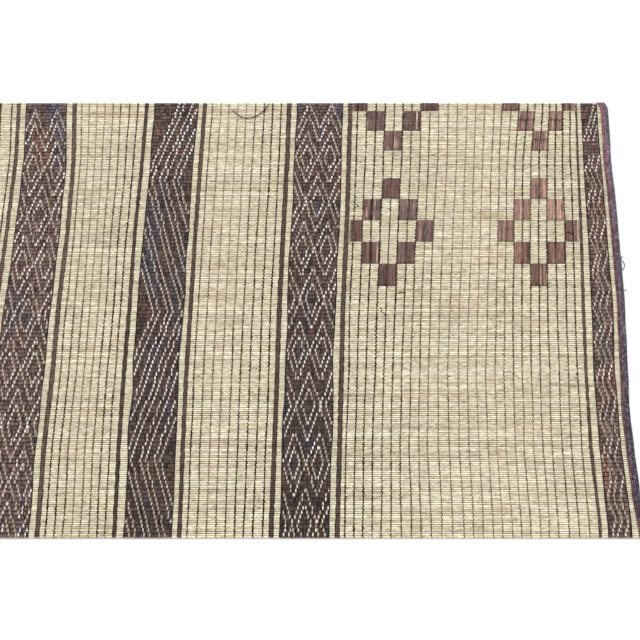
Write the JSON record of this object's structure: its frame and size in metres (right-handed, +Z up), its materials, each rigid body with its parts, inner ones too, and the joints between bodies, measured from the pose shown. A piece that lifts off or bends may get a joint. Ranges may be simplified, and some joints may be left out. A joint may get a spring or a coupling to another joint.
{
  "type": "reed and leather rug",
  "caption": "Flat woven mat of straw-coloured reeds bound by leather strips, with dark leather bands, stepped diamonds and a folded leather edge.",
  "frame": {"origin": "on the floor, under the middle of the mat", "axes": "+X along the reeds, from one leather edge to the other; +Y along the leather bands, away from the viewer; +Z up from the floor"},
  "size_m": [0.985, 0.476, 0.0043],
  "materials": {
    "reed": "matt dry straw, woven with dark brown leather strips",
    "edge_leather": "worn dark blue-grey leather",
    "red_leather": "worn dark red leather"
  },
  "bodies": {
    "root": {"reed_mat": "reed", "edge_binding_left": "edge_leather", "edge_binding_right": "edge_leather", "edge_welt_left": "red_leather", "edge_welt_right": "red_leather"}
  },
  "joints": []
}
